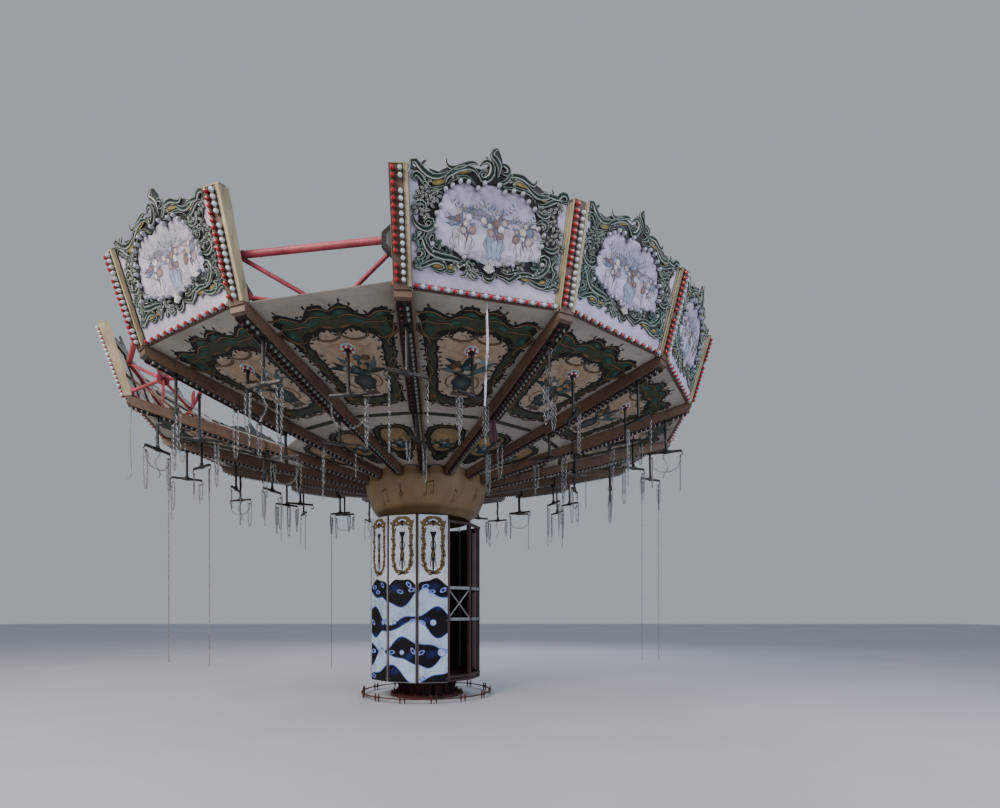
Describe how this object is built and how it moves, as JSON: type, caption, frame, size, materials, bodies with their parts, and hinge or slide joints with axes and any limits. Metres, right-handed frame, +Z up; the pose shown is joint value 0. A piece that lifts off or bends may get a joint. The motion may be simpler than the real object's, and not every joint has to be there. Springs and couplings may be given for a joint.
{
  "type": "chair swing ride",
  "caption": "Fairground chair swing ride: boarded drum tower, lifting mast, tilting crown of radial arms with painted ceiling, ornamental rim boards and seat hangers; weathered, seats gone.",
  "frame": {"origin": "centre of the pedestal's flat underside, on the ground at the tower's axis", "axes": "+Z up along the tower, -Y towards the side with the missing drum boards on its right, X across"},
  "size_m": [10.7458, 10.7416, 6.733],
  "materials": {
    "rusty_steel": "matte",
    "maroon_paint": "satin",
    "mast_steel": "satin",
    "drum_board": "satin",
    "bowl_shell": "satin",
    "brown_beam": "satin",
    "rim_board": "satin",
    "truss_paint": "satin",
    "ceiling_panel": "matte",
    "carving": "gloss",
    "red_bulb": "gloss",
    "white_bulb": "gloss",
    "dark_steel": "satin",
    "chain_steel": "satin",
    "wine_cloth": "matte",
    "white_tape": "matte",
    "rope": "matte"
  },
  "bodies": {
    "base": {"pedestal": "rusty_steel", "anchor_ring": "rusty_steel"},
    "tower": {"tower_mast": "maroon_paint", "drum_frame": "maroon_paint", "drum_wall_1": "drum_board", "drum_wall_2": "drum_board", "drum_wall_3": "drum_board"},
    "mast": {"lift_mast": "mast_steel"},
    "head": {"tilt_frame": "mast_steel"},
    "crown": {"crown_hub": "maroon_paint", "bowl": "bowl_shell", "arm_01": "brown_beam", "arm_02": "brown_beam", "arm_03": "brown_beam", "arm_04": "brown_beam", "arm_05": "brown_beam", "arm_06": "brown_beam", "arm_07": "brown_beam", "arm_08": "brown_beam", "arm_09": "brown_beam", "arm_10": "brown_beam", "arm_11": "brown_beam", "arm_12": "brown_beam", "arm_13": "brown_beam", "arm_14": "brown_beam", "arm_15": "brown_beam", "arm_16": "brown_beam", "rim_board_02": "rim_board", "rim_board_03": "rim_board", "rim_board_04": "rim_board", "rim_board_05": "rim_board", "rim_board_06": "rim_board", "rim_board_07": "rim_board", "rim_board_08": "rim_board", "rim_board_09": "rim_board", "rim_board_10": "rim_board", "rim_board_11": "rim_board", "rim_board_12": "rim_board", "rim_board_13": "rim_board", "rim_board_14": "rim_board", "rim_board_16": "rim_board", "ring_truss_1": "truss_paint", "ring_truss_2": "truss_paint", "ring_truss_3": "truss_paint", "ring_truss_4": "truss_paint", "ceiling_1": "ceiling_panel", "ceiling_2": "ceiling_panel", "ceiling_3": "ceiling_panel", "ceiling_4": "ceiling_panel", "ceiling_5": "ceiling_panel", "ceiling_6": "ceiling_panel", "rod_wrap": "wine_cloth", "front_strap": "white_tape", "rim_rope": "rope"}
  },
  "joints": [
    {"name": "tower_spin", "type": "hinge", "parent": "base", "child": "tower", "pos_m": [0, 0, 0.345], "axis": [0, 0, 1], "continuous": true},
    {"name": "tower_lift", "type": "slide", "parent": "tower", "child": "mast", "axis": [0, 0, 1], "range_m": [0, 2]},
    {"name": "crown_tilt", "type": "hinge", "parent": "mast", "child": "head", "pos_m": [0, 0, 3.7], "axis": [-0.848, -0.5299, 0], "range_deg": [0, 12.7]},
    {"name": "crown_spin", "type": "hinge", "parent": "head", "child": "crown", "pos_m": [0, 0, 3.7], "axis": [-0.0213, 0.034, 0.9992], "continuous": true}
  ],
  "couplings": [
    {"joint": "crown_tilt", "follows": "tower_lift", "rad_per_m": 0.1108}
  ]
}
